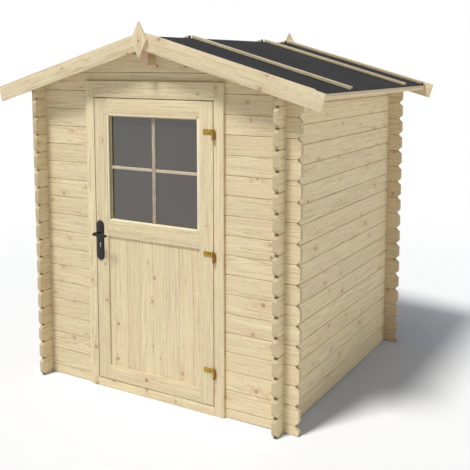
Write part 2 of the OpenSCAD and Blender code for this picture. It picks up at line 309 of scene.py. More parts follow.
class Graph:
    """Short names for making the nodes of a material or a world."""

    def __init__(self, owner):
        self.owner = owner
        owner.use_nodes = True
        self.tree = owner.node_tree

    def node(self, kind, inputs=(), **settings):
        node = self.tree.nodes.new("ShaderNode" + kind)
        for key, value in settings.items():
            setattr(node, key, value)
        for key, value in dict(inputs).items():
            self.put(node.inputs[key], value)
        return node

    def put(self, socket, value):
        if isinstance(value, bpy.types.NodeSocket):
            self.tree.links.new(value, socket)
        else:
            socket.default_value = value

    def attribute(self, name):
        return self.node("Attribute", attribute_name=name).outputs["Vector"]

    def place(self):
        return self.node("TexCoord").outputs["Object"]

    def split(self, vector):
        return self.node("SeparateXYZ", {0: vector}).outputs

    def vector(self, x, y, z):
        return self.node("CombineXYZ", {0: x, 1: y, 2: z}).outputs[0]

    def math(self, operation, a, b=0.0, c=0.0):
        return self.node("Math", {0: a, 1: b, 2: c}, operation=operation).outputs[0]

    plus = partialmethod(math, 'ADD')
    less = partialmethod(math, 'SUBTRACT')
    times = partialmethod(math, 'MULTIPLY')
    over = partialmethod(math, 'DIVIDE')
    linear = partialmethod(math, 'MULTIPLY_ADD')

    def length(self, a, b):
        return self.math('SQRT', self.plus(self.times(a, a), self.times(b, b)))

    def ramp(self, value, start, end):
        """value taken from start..end to 0..1 with soft ends, and held outside that."""
        node = self.node("MapRange", {"Value": value, "From Min": start, "From Max": end},
                         interpolation_type='SMOOTHSTEP', clamp=True)
        return node.outputs["Result"]

    def noise(self, vector, scale=1.0, detail=2.0, roughness=0.5, output="Fac"):
        node = self.node("TexNoise", {"Vector": vector, "Scale": scale, "Detail": detail,
                                      "Roughness": roughness})
        return node.outputs[output]

    def mix(self, share, a, b, blend='MIX'):
        node = self.node("Mix", {"Factor": share, 6: a, 7: b}, data_type='RGBA',
                         blend_type=blend)
        return node.outputs[2]

    def tint(self, colour, where, share, tone):
        """The colour with that share of a tone laid over it, where `where` is 1."""
        return self.mix(self.times(where, share), colour, tone)

    def shaded(self, colour, shade):
        return self.mix(1.0, colour, self.vector(shade, shade, shade), blend='MULTIPLY')

    def scaled(self, vector, x, y, z):
        node = self.node("VectorMath", {0: vector, 1: (x, y, z)}, operation='MULTIPLY')
        return node.outputs[0]

    def bump(self, height, distance, strength):
        inputs = {"Height": height, "Distance": distance, "Strength": strength}
        return self.node("Bump", inputs).outputs[0]

    def surface(self, **inputs):
        """Sets the shader's inputs, an underscore standing for a space in their names."""
        shader = self.tree.nodes["Principled BSDF"]
        for key, value in inputs.items():
            self.put(shader.inputs[key.replace("_", " ")], value)
        return self.owner


def material_graph(name):
    return Graph(bpy.data.materials.new(name))


def srgb(r, g, b):
    """A colour written as 0..255 on screen."""
    def linear(c):
        c /= 255
        return c / 12.92 if c < 0.04045 else ((c + 0.055) / 1.055) ** 2.4
    return (linear(r), linear(g), linear(b), 1.0)


END_GRAIN = srgb(190, 172, 142)
NOOK_SHADE_TONE = srgb(96, 72, 44)  # painted shade, darker in the nooks between log ends
PALE_YEARS = srgb(238, 226, 188)
ROSY_YEARS = srgb(220, 197, 163)
PALE_LINE = srgb(240, 229, 196)
PATCH = srgb(214, 190, 156)
ROSY_TINT = srgb(233, 203, 176)
OLIVE_TINT = srgb(224, 214, 160)
ROSY_BOARD = srgb(224, 194, 158)
KNOT_HALO = srgb(207, 171, 136)
KNOT_CORE = srgb(152, 122, 88)
KNOT_RIM = srgb(116, 82, 56)
KNOT = 0.010  # radius of the largest knots
CELL_L, CELL_W = 0.25, 0.105  # grid that the knots lie in, along and across
YEAR = 0.0034  # distance between two growth rings
RIPPLE = 0.0014  # how far the fibres swing to either side
WANDER = 0.035  # how far the heart wanders along the stem
NOOK_SHADE_REACH = 0.03  # how far the painted shade reaches in the nooks between log ends


def knot_marks(g, along, across, start, end, knots):
    """Core, rim and halo of the knots, which lie one to a cell of a loose grid, where the
    cell has the luck of it; and how dark each one is."""
    plan = g.vector(g.over(along, CELL_L), g.plus(start, g.over(across, CELL_W)), 0.0)
    cells = g.node("TexVoronoi", {"Vector": plan, "Scale": 1.0, "Randomness": 0.9},
                   voronoi_dimensions='2D')
    luck, size, dark = g.split(cells.outputs["Color"])
    reach = g.node("VectorMath", {0: plan, 1: cells.outputs["Position"]}, operation='SUBTRACT')
    off_l, off_w, _ = g.split(g.scaled(reach.outputs[0], CELL_L, CELL_W, 0.0))
    radius = g.linear(size, KNOT, KNOT * 0.3)
    uneven = g.linear(g.noise(g.attribute("grain"), 180.0), 0.6, 0.7)
    near = g.times(uneven, g.over(g.length(off_l, off_w), radius))
    drawn_out = g.over(g.length(g.times(off_l, 0.40), off_w), radius)
    here = g.times(g.math('LESS_THAN', luck, knots), g.less(1.0, end))
    core = g.times(here, g.ramp(near, 1.15, 0.55))
    rim = g.times(here, g.times(g.ramp(near, 0.6, 0.9), g.ramp(near, 1.35, 1.0)))
    halo = g.times(here, g.ramp(drawn_out, 3.6, 0.7))
    return core, rim, halo, dark


def wood_material(name, pale, ring, knots=0.5, rosy=0.45, end_grain=END_GRAIN):
    """Planed spruce: rings round a heart outside the board, streaks, and knots. knots is
    the share of cells that have one, and rosy the share of the rosy years."""
    g = material_graph(name)
    along, across, through = g.split(g.attribute("grain"))
    heart_a, heart_t, tone = g.split(g.attribute("board"))
    end, hue, own = g.split(g.attribute("finish"))
    start = g.times(own, OWN_RANGE)

    def streaks(length, width, depth=None):
        """Noise that runs along the board; the higher a number, the finer its marks."""
        deep = start if depth is None else g.times(through, depth)
        return g.noise(g.vector(g.times(along, length), g.times(across, width), deep))

    # the heart wanders along the stem, and the fibres ripple round it
    wander = g.noise(g.vector(g.times(along, 0.9), start, 0.0), 1.0, 1.0, output="Color")
    wander_a, wander_t, _ = g.split(wander)
    off_a = g.less(across, g.linear(wander_a, WANDER, heart_a))
    off_t = g.less(through, g.linear(wander_t, WANDER, heart_t))
    radius = g.linear(streaks(6.0, 40.0, 40.0), RIPPLE, g.length(off_a, off_t))

    # growth rings, pushed aside by the knots, their late wood dark
    core, rim, halo, dark = knot_marks(g, along, across, start, end, knots)
    rings = g.plus(g.over(radius, YEAR), g.times(halo, 2.2))
    phase = g.math('FRACT', rings)
    late = g.times(g.ramp(phase, 0.2, 0.86), g.ramp(phase, 1.0, 0.93))

    # bands of better and poorer years and long fine lines, both following the rings
    bands = g.noise(g.vector(g.times(along, 1.2), g.times(rings, 0.30), start), 1.0, 3.0, 0.6)
    lines = g.noise(g.vector(g.times(along, 3.6), g.times(rings, 0.9), g.times(across, 60.0)),
                    1.0, 3.0, 0.7)
    fibres = streaks(22.0, 900.0, 900.0)
    flecks = streaks(38.0, 210.0, 210.0)
    patches = streaks(3.0, 14.0)
    tints = streaks(8.0, 26.0)
    # end faces are darkened where ambient occlusion finds a nook: painted shade
    nook = g.node("AmbientOcclusion", {"Distance": NOOK_SHADE_REACH}, samples=8).outputs["AO"]
    painted_nook_shade = g.times(end, g.ramp(nook, 0.90, 0.40))

    colour = pale
    for where, share, paint in (
            (g.ramp(bands, 0.46, 0.64), rosy, ROSY_YEARS),
            (g.ramp(bands, 0.46, 0.30), 0.60, PALE_YEARS),
            (late, 0.40, ring),
            (g.ramp(lines, 0.50, 0.64), 0.80, ring),
            (g.ramp(lines, 0.45, 0.28), 0.30, PALE_LINE),
            (g.ramp(fibres, 0.50, 0.80), 0.20, ring),
            (g.ramp(flecks, 0.50, 0.70), 0.50, ring),
            (g.ramp(patches, 0.50, 0.78), 0.22, PATCH),
            (g.ramp(tints, 0.52, 0.72), 0.36, ROSY_TINT),
            (g.ramp(tints, 0.48, 0.30), 0.40, OLIVE_TINT),
            (g.ramp(hue, 0.70, 1.00), 0.14, ROSY_BOARD),
            (halo, 0.32, KNOT_HALO),
            (core, g.linear(dark, 0.35, 0.42), KNOT_CORE),
            (rim, 0.28, KNOT_RIM),
            (end, 0.75, end_grain),
            (painted_nook_shade, 0.85, NOOK_SHADE_TONE)):
        colour = g.tint(colour, where, share, paint)
    colour = g.shaded(colour, g.linear(tone, 0.06, 0.965))

    height = g.plus(g.times(late, 0.6), g.times(fibres, 0.8))
    height = g.plus(height, g.times(core, 0.8))
    rough = g.less(g.linear(fibres, 0.16, 0.56), g.times(g.plus(late, core), 0.08))
    return g.surface(Base_Color=colour, Roughness=g.linear(end, 0.3, rough),
                     Normal=g.bump(height, 0.00025, 0.55), Specular_IOR_Level=0.22)


def felt_material():
    """Mineral roofing felt: charcoal with fine grit."""
    g = material_graph("roofing_felt")
    place = g.place()
    grit = g.node("TexVoronoi", {"Vector": place, "Scale": 620.0}).outputs
    grain, glint, _ = g.split(grit["Color"])
    patches = g.noise(place, 3.5, 4.0, 0.6)
    fine = g.noise(place, 160.0, 3.0, 0.6)
    colour = g.mix(g.ramp(grain, 0.1, 0.95), srgb(33, 33, 35), srgb(49, 49, 51))
    colour = g.tint(colour, g.ramp(glint, 0.90, 0.98), 0.4, srgb(100, 100, 99))
    colour = g.tint(colour, g.ramp(patches, 0.42, 0.68), 0.2, srgb(72, 71, 70))
    height = g.linear(fine, 0.6, grit["Distance"])
    return g.surface(Base_Color=colour, Roughness=g.linear(grain, 0.12, 0.82),
                     Normal=g.bump(height, 0.0006, 0.7), Specular_IOR_Level=0.08)


def metal_material(name, bright, dull, roughness, metallic=1.0, specular=0.5):
    """Metal, paint or plastic, a little tarnished and scratched."""
    g = material_graph(name)
    place = g.place()
    tarnish = g.noise(place, 55.0, 4.0, 0.6)
    scratch = g.noise(g.scaled(place, 900.0, 900.0, 60.0), 1.0, 2.0)
    pits = g.noise(place, 1400.0, 2.0)
    rough = g.plus(g.linear(tarnish, 0.16, roughness - 0.08),
                   g.times(g.ramp(scratch, 0.6, 0.75), 0.1))
    return g.surface(Base_Color=g.mix(g.ramp(tarnish, 0.35, 0.75), bright, dull),
                     Roughness=rough, Normal=g.bump(g.plus(scratch, pits), 0.00006, 0.5),
                     Metallic=metallic, Specular_IOR_Level=specular)


def glass_material():
    """A grey pane that hides most of what is behind it."""
    g = material_graph("grey_glass")
    place = g.place()
    film = g.noise(place, 2.2, 3.0)
    smear = g.noise(g.scaled(place, 14.0, 14.0, 5.0), 1.0, 3.0)
    colour = g.mix(g.ramp(film, 0.3, 0.7), srgb(70, 63, 52), srgb(80, 72, 60))
    return g.surface(Base_Color=colour, Roughness=g.linear(smear, 0.10, 0.10),
                     Normal=g.bump(g.noise(place, 9.0, 1.0), 0.0004, 0.25),
                     Transmission_Weight=0.35, Specular_IOR_Level=1.0, Coat_Weight=1.0,
                     IOR=1.5)


def bar_wood(name, pale, ring):
    """Wood without knots, for beads and bars."""
    return wood_material(name, pale, ring, knots=0.0, rosy=0.2)


PALE = srgb(236, 221, 184)
RING = srgb(200, 178, 138)
WALL_WOOD = wood_material("wall_boards", PALE, RING)
ROOF_WOOD = wood_material("roof_timber", srgb(232, 216, 179), RING)
# the ridge beam's wood is painted darker and browner than the roof timber: painted shade under
# the roof
BEAM_WOOD_SHADED = wood_material("ridge_beam", srgb(206, 178, 138), srgb(176, 148, 110), knots=0.2,
                          end_grain=srgb(224, 190, 162))
BATTEN_WOOD = wood_material("roof_battens", srgb(224, 211, 178), srgb(182, 160, 122), knots=0.1)
BARGE_WOOD = wood_material("barge_boards", srgb(238, 223, 189), RING, knots=0.45,
                           end_grain=srgb(230, 212, 172))
FRAME_WOOD = wood_material("door_frame", PALE, RING, knots=0.4)
LEAF_WOOD = wood_material("door_leaf", PALE, RING, knots=0.3)
# the beads are painted paler than the leaf: painted highlight
BEAD_WOOD_HIGHLIGHT = bar_wood("glazing_beads", srgb(246, 237, 208), srgb(226, 212, 178))
# one wood in two tones: the level bars painted paler, as painted light on their tops, and the
# upright bars darker, as painted shade
LIT_LEVEL_BAR_WOOD = bar_wood("level_bars_painted_light", srgb(200, 189, 170), srgb(172, 159, 139))
SHADED_UPRIGHT_BAR_WOOD = bar_wood("upright_bars_painted_shade", srgb(165, 155, 141), srgb(140, 128, 111))
FELT = felt_material()
BRASS = metal_material("brass", srgb(186, 154, 66), srgb(132, 104, 38), 0.34)
# darker brass on the knuckles: painted shade for their dark sides
KNUCKLE_BRASS_SHADED = metal_material("knuckle_brass_painted_shade", srgb(164, 124, 52), srgb(116, 84, 28), 0.36)
BLACK = metal_material("black_coat", srgb(46, 46, 48), srgb(37, 37, 38), 0.5, 0.0, 0.3)
# the lever's own black, also laid on the plates' sloping rims as painted shade
LEVER_BLACK_RIM_SHADE = metal_material("lever_black", srgb(33, 32, 30), srgb(26, 25, 24), 0.45, 0.0, 0.3)
NICKEL = metal_material("nickel", srgb(200, 198, 194), srgb(170, 168, 164), 0.3)
# a dark block for the key slot: painted shade for its depth
KEY_SLOT_SHADE = metal_material("key_slot_painted_shade", srgb(22, 22, 22), srgb(16, 16, 16), 0.6, 0.0, 0.2)
# brown strip in the window rebate: painted shade
REBATE_SHADE = metal_material("rebate_shade", srgb(200, 184, 146), srgb(182, 166, 128), 0.7, 0.0, 0.2)
GLASS = glass_material()


# -------- walls

GROOVE = 0.0038  # how far a board's face edges are chamfered
GAP = 0.0007  # half the gap at the foot of that groove
BOARD_LAYERS = both_faces(BOARD_T, [(0, GROOVE), (GROOVE, GAP), (2 * GROOVE, GAP),
                                    (2.5 * GROOVE, 0)])
EDGE = 1.0  # share of the chamfer on a board's long edges
END = 0.2  # and on its ends
TIGHT = 0.0  # and where it fits against another piece


def notch(near, far, z, depth):
    """Points of a corner notch, from near to far, in a lower (depth > 0) or upper edge."""
    return [(near, z, TIGHT), (near, z + depth, TIGHT), (far, z + depth, TIGHT), (far, z, EDGE)]


def half_outline(z0, z1, half, notches, foot=END_CUT, last=False):
    """Right half of a log's outline, from its lower to its upper edge, with corner notches
    at half (below, above); foot cuts its lower corner, last says it is the highest."""
    inner = half - BOARD_T
    end = half + LOG_END
    points = notch(inner, half, z0, QUARTER) if notches[0] else []
    points += [(end - foot, z0, END), (end, z0 + foot, END)]
    if last:
        points += [(end, z1, TIGHT)]
    else:
        points += [(end, z1 - END_CUT, END), (end - END_CUT, z1, EDGE)]
    if notches[1]:
        points += notch(half, inner, z1, -QUARTER)
    return points


def log(mesh, right, place, along, joint=EDGE):
    """A symmetric board from the right half of its outline; joint is the share of the
    edge between the halves at the bottom."""
    left = mirrored(right)
    left[-1] = (*left[-1][:2], joint)
    mesh.plank(right + left, BOARD_LAYERS, place, along, AXIS_Z)


def side_wall(side):
    """Full boards from the ground up, notched where the other walls' boards cross them."""
    name = HANDS[side] + "_wall"
    mesh = Mesh(name + "_boards")
    x0 = low(name).x
    inner = HALF_D - BOARD_T

    def place(u, v, depth):
        x = x0 + depth
        return Vector((x, u, min(v, roof_z(x))))

    for k in range(COURSES - 1):
        right = half_outline(k * COURSE, (k + 1) * COURSE, HALF_D, (True, True))
        log(mesh, right, place, AXIS_Y)
    top = high(name).z
    right = half_outline((COURSES - 1) * COURSE, top, HALF_D, (True, False), last=True)
    right += notch(HALF_D, inner, top, COURSES * COURSE - QUARTER - top)[:-1]
    right += [(inner, top, TIGHT)]
    log(mesh, right, place, AXIS_Y)
    mesh.done("shed", name, [WALL_WOOD])


def cross_place(y0):
    """Places a point of a front or back wall, cut off under the roof boards."""
    def place(u, v, depth):
        return Vector((u, y0 + depth, min(v, roof_z(u))))
    return place


def cross_board(k):
    """Right half of a front or back wall's board; the lowest is half as high."""
    foot = END_CUT if k else FOOT_CUT
    return half_outline(max(0.0, (k - 0.5) * COURSE), (k + 0.5) * COURSE, HALF_W,
                        (k > 0, True), foot)


def front_side(side):
    """The front wall's boards beside the doorway."""
    name = "front_wall_" + HANDS[side]
    mesh = Mesh(name + "_boards")
    for k in range(COURSES):
        outline = cross_board(k)
        z0, z1 = outline[0][1], outline[-1][1]
        outline += [(WALL_BED, z1, TIGHT), (WALL_BED, z0, EDGE)]
        if side < 0:
            outline = mirrored(outline)
        mesh.plank(outline, BOARD_LAYERS, cross_place(-HALF_D), AXIS_X, AXIS_Z)
    mesh.done("shed", name, [WALL_WOOD])


def gable_boards(mesh, y0, foot=None):
    """The boards over the highest joint, cut to the roof and round the ridge beam;
    foot is the place and height of a notch over the doorway."""
    place = cross_place(y0)
    end = HALF_W + LOG_END
    beam_x, beam_z = high("ridge_beam").x, low("ridge_beam").z
    z0, z1 = GABLE_Z, GABLE_Z + COURSE
    right = notch(HALF_W - BOARD_T, HALF_W, z0, QUARTER)
    if foot:
        right = [(foot[0], foot[1], TIGHT), (foot[0], z0, EDGE)] + right
    right += [(end - END_CUT, z0, END), (end, z0 + END_CUT, END),
              (end, roof_z(end), TIGHT), (roof_x(z1), z1, EDGE)]
    log(mesh, right, place, AXIS_X, TIGHT if foot else EDGE)
    z0, z1 = z1, z1 + COURSE
    right = [(roof_x(z0), z0, TIGHT), (roof_x(z1), z1, EDGE),
             (beam_x, z1, TIGHT), (beam_x, beam_z, TIGHT)]
    log(mesh, right, place, AXIS_X)
    z0 = z1
    right = [(beam_x, z0, EDGE), (roof_x(z0), z0, TIGHT), (beam_x, roof_z(beam_x), TIGHT)]
    for outline in (right, mirrored(right)):
        mesh.plank(outline, BOARD_LAYERS, place, AXIS_X, AXIS_Z)


def front_gable():
    mesh = Mesh("front_gable_boards")
    gable_boards(mesh, -HALF_D, foot=(WALL_BED, high("door_head").z - HEAD_LAP))
    mesh.done("shed", "front_gable", [WALL_WOOD])


def back_wall():
    mesh = Mesh("back_wall_boards")
    y0 = HALF_D - BOARD_T
    for k in range(COURSES):
        log(mesh, cross_board(k), cross_place(y0), AXIS_X)
    gable_boards(mesh, y0)
    mesh.done("shed", "back_wall", [WALL_WOOD])


# -------- roof

DECK_BOARDS = 20
DECK_LAYERS = [(0.0, 0.0025), (0.0025, 0.0003), (0.005, 0.0), (DECK_T, 0.0)]
LAP = 0.012  # half the overlap of two widths of felt
LAP_STEP = 0.0006  # how much lower the outer widths of felt lie
WAVE = 0.0002  # unevenness of the felt
RIDGE_ROUND = 0.004  # how far the felt is rounded off over the ridge
RIDGE_REACH = 0.02  # and how far down the slopes


def roof_deck(side):
    """Boards from the ridge to the eave, their underside joints chamfered."""
    name = "roof_deck_" + HANDS[side]
    mesh = Mesh(name + "_boards")
    width = 2 * ROOF_HALF_D / DECK_BOARDS
    length = (EAVE_X - DECK_T * sin(PITCH)) / cos(PITCH)
    down = down_slope(side)
    out = Vector((side * sin(PITCH), 0, cos(PITCH)))
    ridge = Vector((0, 0, PEAK + LAYER_PLAY))

    def place(u, v, depth):
        run = v if v > 0 else -depth * SLOPE  # cut plumb at the ridge
        return ridge + down * run + out * depth + AXIS_Y * u

    for i in range(DECK_BOARDS):
        u0 = -ROOF_HALF_D + i * width
        outline = oblong(u0, u0 + width, 0, length, (TIGHT, EDGE, END, EDGE))
        mesh.plank(outline, DECK_LAYERS, place, down, AXIS_Y)
    mesh.done("shed", name, [ROOF_WOOD])


def felt_ring(y, thick):
    """A section across the roof through one width of felt."""
    steps = 48
    base = 2 * LAYER_PLAY + DECK_T / cos(PITCH)
    upper, lower = [], []
    for i in range(-steps, steps + 1):
        x = EAVE_X * i / steps
        wave = WAVE * (sin(9 * x + 5 * y) + sin(23 * y - 4 * x)) - 2 * WAVE
        z = roof_z(x, base + thick / cos(PITCH) + wave)
        if abs(i) < 3:
            z -= RIDGE_ROUND * math.exp(-(x / RIDGE_REACH) ** 2)
        upper.append(Vector((x, y, z)))
        square_cut = thick * sin(PITCH) * (abs(i) == steps)
        x -= math.copysign(square_cut, x)
        lower.append(Vector((x, y, roof_z(x, base))))
    return upper + lower[::-1]


def roof_felt():
    """Three widths of felt over the ridge, their laps under the middle battens."""
    mesh = Mesh("roof_felt_sheets")
    first, second = middle("batten_left_2").y, middle("batten_left_3").y
    steps = 24
    for y0, y1, thick in ((-ROOF_HALF_D, first + LAP, FELT_T - LAP_STEP),
                          (first - LAP, second + LAP, FELT_T),
                          (second - LAP, ROOF_HALF_D, FELT_T - LAP_STEP)):
        rings = [felt_ring(y0 + (y1 - y0) * j / steps, thick) for j in range(steps + 1)]
        for face in mesh.skin(rings):
            face.smooth = True
    mesh.done("shed", "roof_felt", [FELT], sharp=25)


def roof_timber():
    from_cad("ridge_beam", "shed", BEAM_WOOD_SHADED, AXIS_Y, AXIS_Z, ease=0.002)
    for side, hand in HANDS.items():
        along = down_slope(side)
        from_cad("eave_lath_" + hand, "shed", ROOF_WOOD, AXIS_Y, along)
        for i in range(1, 5):
            from_cad("batten_%s_%d" % (hand, i), "shed", BATTEN_WOOD,
                     along, AXIS_Y, ease=0.0015)
        for end in ENDS:
            from_cad("barge_%s_%s" % (end, hand), "shed", BARGE_WOOD,
                     along, along.cross(AXIS_Y), ease=0.0018)
    for end in ENDS:
        from_cad("finial_" + end, "shed", BARGE_WOOD, AXIS_Z, AXIS_X,
                 ease=0.0025)


# -------- door

def door_wood():
    """The frame and the leaf's timber, each piece with the grain along it."""
    for node in ("post_left", "post_right"):
        from_cad(node, "shed", FRAME_WOOD, AXIS_Z, AXIS_X, ease=0.0015)
    for node in ("door_head", "door_sill"):
        from_cad(node, "shed", FRAME_WOOD, AXIS_X, AXIS_Z, ease=0.0015)
    for node in ("stile_latch", "stile_hinge"):
        from_cad(node, "door", LEAF_WOOD, AXIS_Z, AXIS_X, ease=0.001)
    for node in ("rail_top", "rail_middle", "rail_bottom"):
        from_cad(node, "door", LEAF_WOOD, AXIS_X, AXIS_Z, ease=0.001)


PANEL_BOARD = 0.0965  # cover width of a panel board
PANEL_JOINT = -0.0073  # where one joint lies
PANEL_CHAMFER = 0.0012
PANEL_GAP = 0.0002  # half the gap at the foot of that chamfer


def door_panel():
    """Narrow upright boards with fine joints between them."""
    mesh = Mesh("door_panel_boards")
    a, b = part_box("door_panel")
    layers = both_faces(b.y - a.y, [(0, PANEL_CHAMFER), (PANEL_CHAMFER, PANEL_GAP),
                                    (2 * PANEL_CHAMFER, 0)])
    first = math.ceil((a.x - PANEL_JOINT) / PANEL_BOARD)
    last = math.floor((b.x - PANEL_JOINT) / PANEL_BOARD)
    joints = [a.x] + [PANEL_JOINT + i * PANEL_BOARD for i in range(first, last + 1)] + [b.x]
    for x0, x1 in zip(joints, joints[1:]):
        outline = oblong(x0, x1, a.z, b.z, (TIGHT, EDGE, TIGHT, EDGE))
        mesh.plank(outline, layers, facing(a.y), AXIS_Z, AXIS_X)
    mesh.done("door", "door_panel", [LEAF_WOOD])


LATCH_BEAD = 0.014  # widths of the glazing beads
HINGE_BEAD = 0.019
FOOT_BEAD = 0.0115
HEAD_BEAD = 0.0085
LIP = 0.002  # how far the beads lie behind the leaf's faces
HEAD_PROUD = 0.0015  # how far the one at the head stands out from them
BAR_W = 0.026  # bars laid on the glass
BAR_H = 0.019
BAR_T = 0.005
BAR_RISE = 0.0025  # how far the level bars lie above the middle
BAR_BACK = 0.0005  # and behind the upright one
BEAD_EASE, UPRIGHT_EASE, LEVEL_EASE = 0.0025, 0.003, 0.002
REBATE_STRIP_W = 0.0015  # brown strip between the beads and the pane, painted shade in the rebate
REBATE_STRIP_FOOT = 0.007  # its width where it spreads on the glass
REBATE_STRIP_BACK = 0.004  # how far it lies behind the beads' faces
REBATE_STRIP_LOW = 0.0015  # its least height, on the inside


def strip(mesh, x0, x1, z0, z1, place, thick, ease, along):
    """A straight bead or bar standing on the glass, its front edges eased."""
    layers = [(0.0, 0.0), (thick - ease, 0.0), (thick - ease * 0.3, ease * 0.4), (thick, ease)]
    across = AXIS_Z if along is AXIS_X else AXIS_X
    mesh.plank(oblong(x0, x1, z0, z1), layers, place, along, across)


def rebate_shade_strip(mesh, x0, x1, z0, z1, shares, place, height):
    """A brown strip of painted shade in the rebate; shares picks the edge at which it spreads on
    the glass.
    """
    drawn = REBATE_STRIP_FOOT - REBATE_STRIP_W
    layers = [(0.0, 0.0), (min(REBATE_STRIP_FOOT, height / 2), drawn), (height, drawn)]
    mesh.plank(oblong(x0, x1, z0, z1, shares), layers, place, AXIS_Z, AXIS_X)


def glazing():
    """Beads round the pane, a brown strip of painted shade in the rebate, and a cross of bars, on
    both sides of the glass.
    """
    left, right = high("stile_latch").x, low("stile_hinge").x
    foot, head = high("rail_middle").z, low("rail_top").z
    x0, x1 = left + LATCH_BEAD, right - HINGE_BEAD
    z0, z1 = foot + FOOT_BEAD, head - HEAD_BEAD
    bar_left = (left + right - BAR_W) / 2
    bar_right = bar_left + BAR_W
    level = (foot + head) / 2 + BAR_RISE
    for hand, out, y_glass, y_face in (
            ("outside", -1, low("door_glass").y, low("stile_latch").y),
            ("inside", 1, high("door_glass").y, high("stile_latch").y)):
        place = facing(y_glass, out)
        depth = abs(y_face - y_glass)
        thick = depth - LIP
        height = max(thick - REBATE_STRIP_BACK, REBATE_STRIP_LOW)
        beads = Mesh("glazing_beads_" + hand)
        strip(beads, left, x0, foot, head, place, thick, BEAD_EASE, AXIS_Z)
        strip(beads, x1, right, foot, head, place, thick, BEAD_EASE, AXIS_Z)
        strip(beads, x0, x1, foot, z0, place, thick, BEAD_EASE, AXIS_X)
        strip(beads, x0, x1, z1, head, place, depth + HEAD_PROUD, HEAD_PROUD, AXIS_X)
        beads.done("door", None, [BEAD_WOOD_HIGHLIGHT])
        rebate_shade = Mesh("glazing_seal_" + hand)
        rebate_shade_strip(rebate_shade, x0, x0 + REBATE_STRIP_FOOT, z0, z1, (0, 1, 0, 0), place, height)
        rebate_shade_strip(rebate_shade, x1 - REBATE_STRIP_FOOT, x1, z0, z1, (0, 0, 0, 1), place, height)
        rebate_shade_strip(rebate_shade, x0, x1, z1 - REBATE_STRIP_FOOT, z1, (1, 0, 0, 0), place, height)
        rebate_shade.done("door", None, [REBATE_SHADE])
        upright = Mesh("glazing_bar_upright_" + hand)
        strip(upright, bar_left, bar_right, z0, z1, place, BAR_T, UPRIGHT_EASE, AXIS_Z)
        upright.done("door", None, [SHADED_UPRIGHT_BAR_WOOD])
        levels = Mesh("glazing_bars_level_" + hand)
        for a, b in ((x0, bar_left), (bar_right, x1)):
            strip(levels, a, b, level - BAR_H / 2, level + BAR_H / 2, place,
                  BAR_T - BAR_BACK, LEVEL_EASE, AXIS_X)
        levels.done("door", None, [LIT_LEVEL_BAR_WOOD])


def glass():
    """The pane is the CAD solid with a better material."""
    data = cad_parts["door_glass"].data
    data.materials.clear()
    data.materials.append(GLASS)


# -------- hinges, lock and lever

def eased(depth, ease):
    """Layers of a solid whose rims are chamfered at both ends."""
    return both_faces(depth, [(0, ease), (ease, 0)])


def chamfered_block(mesh, a, b, ease=0.0004):
    """A block between two corners with eased edges round its Z faces."""
    layers = eased(b.y - a.y, ease)
    return mesh.skin(layered(oblong(a.x, b.x, a.z, b.z), layers, facing(a.y)))


def screw(mesh, centre, out, radius):
    """A countersunk screw head."""
    mesh.lathe([(-0.0004, radius), (0.0003, radius), (0.0006, radius * 0.8),
                (0.0007, radius * 0.3)], centre, out, 20)


def barrel(mesh, centre, height, radius, bore):
    """A hinge knuckle standing on centre, with eased rims and a bore."""
    ease = 0.0009
    profile = [(0, bore), (0, radius - ease), (ease, radius), (height - ease, radius),
               (height, radius - ease), (height, bore)]
    rings = [ring_points(centre + AXIS_Z * d, AXIS_X * r, AXIS_Y * r, 32) for d, r in profile]
    for face in mesh.outwards(mesh.wall(rings, looped=True)[1]):
        face.smooth = True
        # the knuckles take the darker brass: painted shade
        face.material_index = 1


STRAP_H = 0.029
STRAP_T = 0.003
STRAP_SCREWS = ((0.18, 0.72), (0.18, 0.28), (0.62, 0.5))  # shares of its length and height
HOOK_T = 0.0025  # thickness of the plate on the post, and of the wrap
HOOK_SCREWS = (0.25, 0.75)  # shares of its height
HOOK_SCREW_IN = 0.6  # and of its width
PIN_R, PIN_TIP_R, PIN_TIP = 0.0039, 0.0028, 0.001
BORE_R = 0.00405
PLAY = 0.0001  # between the two knuckles, and under the pin


def hinge_pin(place):
    """Where the pin's axis meets z = 0, and the radius of the knuckles round it."""
    a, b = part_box("hinge_strap_" + place)
    hook_low, hook_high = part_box("hinge_hook_" + place)
    radius = (hook_high.x - hook_low.x) / 2
    return Vector((b.x - radius, a.y + radius, 0)), radius


def hinge_hook(place):
    """The plate on the post, with a knuckle and the pin that stands on it."""
    node = "hinge_hook_" + place
    mesh = Mesh(node + "_brass")
    a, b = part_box(node)
    pin, radius = hinge_pin(place)
    height = low("hinge_strap_" + place).z - a.z
    pin += AXIS_Z * a.z
    barrel(mesh, pin, height - PLAY, radius, PIN_R)
    top = b.z - a.z
    mesh.lathe([(PLAY, PIN_R), (top - PIN_TIP, PIN_R), (top, PIN_TIP_R)], pin, AXIS_Z, 24)
    post = high("door_head").x
    chamfered_block(mesh, Vector((post - HOOK_T, pin.y, a.z)), Vector((post, b.y, a.z + height)))
    for share in HOOK_SCREWS:
        y = pin.y + HOOK_SCREW_IN * (b.y - pin.y)
        screw(mesh, Vector((post - HOOK_T, y, a.z + height * share)), -AXIS_X, radius=0.003)
    mesh.done("shed", node, [BRASS, KNUCKLE_BRASS_SHADED])


